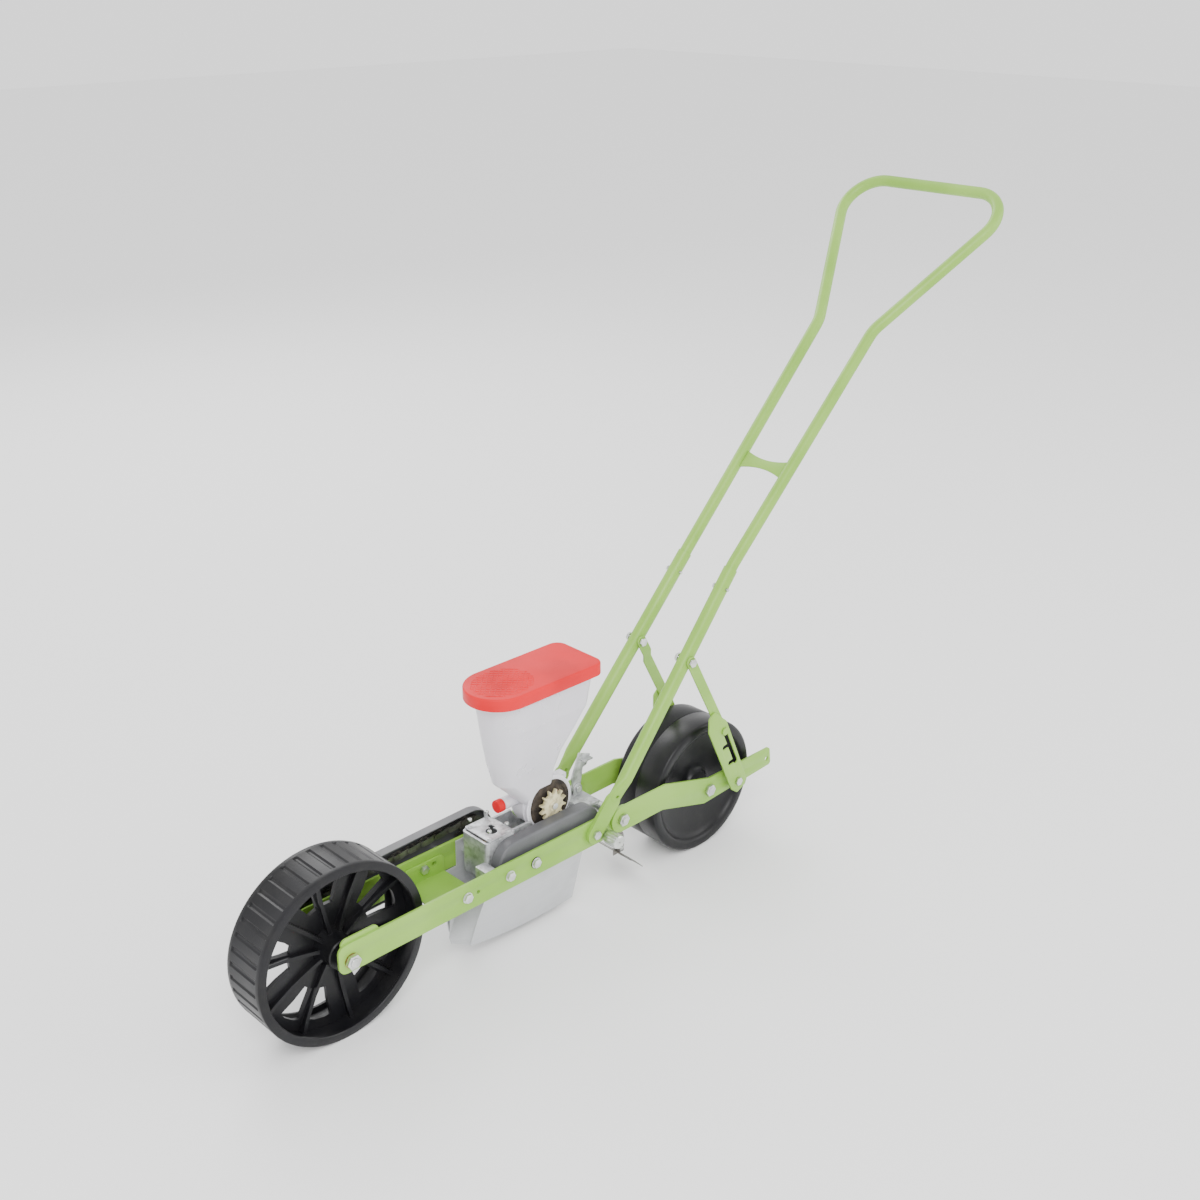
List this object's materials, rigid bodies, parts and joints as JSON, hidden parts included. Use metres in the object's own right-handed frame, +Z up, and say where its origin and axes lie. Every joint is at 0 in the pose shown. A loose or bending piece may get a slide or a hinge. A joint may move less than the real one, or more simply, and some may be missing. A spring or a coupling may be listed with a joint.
{
  "type": "garden row seeder",
  "caption": "Hand-pushed single-row vegetable seeder: broad drive wheel, chain-driven seed roller under a clear hopper, furrow opener, coverer, press wheel and tall loop handle.",
  "frame": {"origin": "on the ground, under the middle of the whole machine", "axes": "+X from the front wheel to the handle, -Y the machine's left side, +Z up"},
  "size_m": [1.4284, 0.3152, 1.0185],
  "materials": {
    "green_paint": "satin",
    "zinc": "satin",
    "drive_steel": "satin",
    "case_aluminium": "matte",
    "bush_brass": "satin",
    "guard_grey": "satin",
    "hopper_clear": "gloss",
    "red_plastic": "satin",
    "brush_black": "matte",
    "roller_brown": "satin",
    "star_cream": "satin",
    "opener_steel": "satin",
    "wheel_black": "satin",
    "coverer_steel": "satin",
    "knob_zinc": "matte"
  },
  "bodies": {
    "frame": {"left_side_bar": "green_paint", "right_side_bar": "green_paint", "axle_plates": "green_paint", "axle_bushes": "bush_brass", "front_cross_bracket": "green_paint", "rear_pivot_rod": "zinc", "frame_bolts": "zinc", "left_lower_tube": "green_paint", "right_lower_tube": "green_paint", "upper_handle": "green_paint", "handle_brace": "green_paint", "handle_bolts": "zinc", "wheel_chain": "drive_steel", "meter_chain": "drive_steel", "right_chain_guard": "guard_grey", "left_chain_guard": "guard_grey", "chain_case_plate": "guard_grey", "guard_posts": "zinc", "metering_case": "case_aluminium", "bearing_bushes": "bush_brass", "case_top_plate": "case_aluminium", "seed_hopper": "hopper_clear", "roller_brush": "brush_black", "left_opener_plate": "opener_steel", "right_opener_plate": "opener_steel", "opener_nose": "opener_steel", "seed_chute": "brush_black", "swing_pins": "zinc", "coverer_rod": "zinc"},
    "front_wheel": {"front_wheel_rim": "wheel_black", "front_wheel_web": "wheel_black", "front_axle": "zinc", "wheel_sprocket": "drive_steel"},
    "countershaft": {"countershaft": "zinc", "counter_input_sprocket": "drive_steel", "counter_output_sprocket": "drive_steel"},
    "metering_shaft": {"metering_shaft": "zinc", "metering_sprocket": "drive_steel", "drive_gear": "drive_steel"},
    "seed_roller": {"seed_roller": "roller_brown", "star_gear": "star_cream", "roller_shaft": "zinc"},
    "hopper_lid": {"hopper_lid": "red_plastic"},
    "clean_out_plug": {"clean_out_plug": "red_plastic"},
    "hopper_latch": {"hopper_latch": "case_aluminium"},
    "rear_arms": {"left_rear_arm": "green_paint", "right_rear_arm": "green_paint", "rear_axle": "zinc", "link_bottom_bolts": "zinc"},
    "rear_wheel": {"rear_wheel_left_half": "wheel_black", "rear_wheel_right_half": "wheel_black", "rear_wheel_bushes": "bush_brass"},
    "left_link": {"left_link": "green_paint"},
    "right_link": {"right_link": "green_paint"},
    "left_slot_plate": {"left_slot_plate": "green_paint"},
    "right_slot_plate": {"right_slot_plate": "green_paint"},
    "coverer": {"coverer_arm": "coverer_steel", "coverer_blade": "coverer_steel", "coverer_bolts": "zinc"},
    "coverer_clamp_knob": {"coverer_clamp_knob": "knob_zinc"}
  },
  "joints": [
    {"name": "front_wheel_spin", "type": "hinge", "parent": "frame", "child": "front_wheel", "pos_m": [-0.57925, 0, 0.135], "axis": [0, 1, 0], "continuous": true},
    {"name": "countershaft_spin", "type": "hinge", "parent": "frame", "child": "countershaft", "pos_m": [-0.27725, 0, 0.15], "axis": [0, 1, 0], "continuous": true},
    {"name": "metering_shaft_spin", "type": "hinge", "parent": "frame", "child": "metering_shaft", "pos_m": [-0.18525, 0, 0.146], "axis": [0, 1, 0], "continuous": true},
    {"name": "seed_roller_spin", "type": "hinge", "parent": "frame", "child": "seed_roller", "pos_m": [-0.18525, 0, 0.198], "axis": [0, 1, 0], "continuous": true},
    {"name": "lid_lift", "type": "slide", "parent": "frame", "child": "hopper_lid", "axis": [0, 0, 1], "range_m": [0, 0.08]},
    {"name": "plug_pull", "type": "slide", "parent": "frame", "child": "clean_out_plug", "axis": [-1, 0, 0], "range_m": [0, 0.03]},
    {"name": "latch_swing", "type": "hinge", "parent": "frame", "child": "hopper_latch", "pos_m": [-0.09525, 0, 0.172], "axis": [0, 1, 0], "range_deg": [0, 35]},
    {"name": "working_depth", "type": "hinge", "parent": "frame", "child": "rear_arms", "pos_m": [-0.07425, 0, 0.142], "axis": [0, -1, 0], "range_deg": [0, 16]},
    {"name": "rear_wheel_spin", "type": "hinge", "parent": "rear_arms", "child": "rear_wheel", "pos_m": [0.12475, 0, 0.1135], "axis": [0, 1, 0], "continuous": true},
    {"name": "left_link_swing", "type": "hinge", "parent": "frame", "child": "left_link", "pos_m": [0.06475, 0, 0.36635], "axis": [0, -1, 0], "range_deg": [0, 8]},
    {"name": "right_link_swing", "type": "hinge", "parent": "frame", "child": "right_link", "pos_m": [0.06475, 0, 0.36635], "axis": [0, -1, 0], "range_deg": [0, 8]},
    {"name": "left_slot_swing", "type": "hinge", "parent": "rear_arms", "child": "left_slot_plate", "pos_m": [0.18075, 0, 0.113], "axis": [0, -1, 0], "range_deg": [-8.5, 0]},
    {"name": "right_slot_swing", "type": "hinge", "parent": "rear_arms", "child": "right_slot_plate", "pos_m": [0.18075, 0, 0.113], "axis": [0, -1, 0], "range_deg": [-8.5, 0]},
    {"name": "coverer_swing", "type": "hinge", "parent": "frame", "child": "coverer", "pos_m": [-0.10925, 0, 0.1285], "axis": [0, -1, 0], "range_deg": [-8, 15]},
    {"name": "clamp_knob_turn", "type": "hinge", "parent": "frame", "child": "coverer_clamp_knob", "pos_m": [-0.10925, 0, 0.1285], "axis": [0, 1, 0], "range_deg": [-180, 180]}
  ],
  "couplings": [
    {"joint": "countershaft_spin", "follows": "front_wheel_spin", "ratio": 1},
    {"joint": "metering_shaft_spin", "follows": "front_wheel_spin", "ratio": 1},
    {"joint": "seed_roller_spin", "follows": "front_wheel_spin", "ratio": -1.3333},
    {"joint": "left_link_swing", "follows": "working_depth", "ratio": 0.46},
    {"joint": "right_link_swing", "follows": "working_depth", "ratio": 0.46},
    {"joint": "left_slot_swing", "follows": "working_depth", "ratio": -0.5},
    {"joint": "right_slot_swing", "follows": "working_depth", "ratio": -0.5}
  ]
}
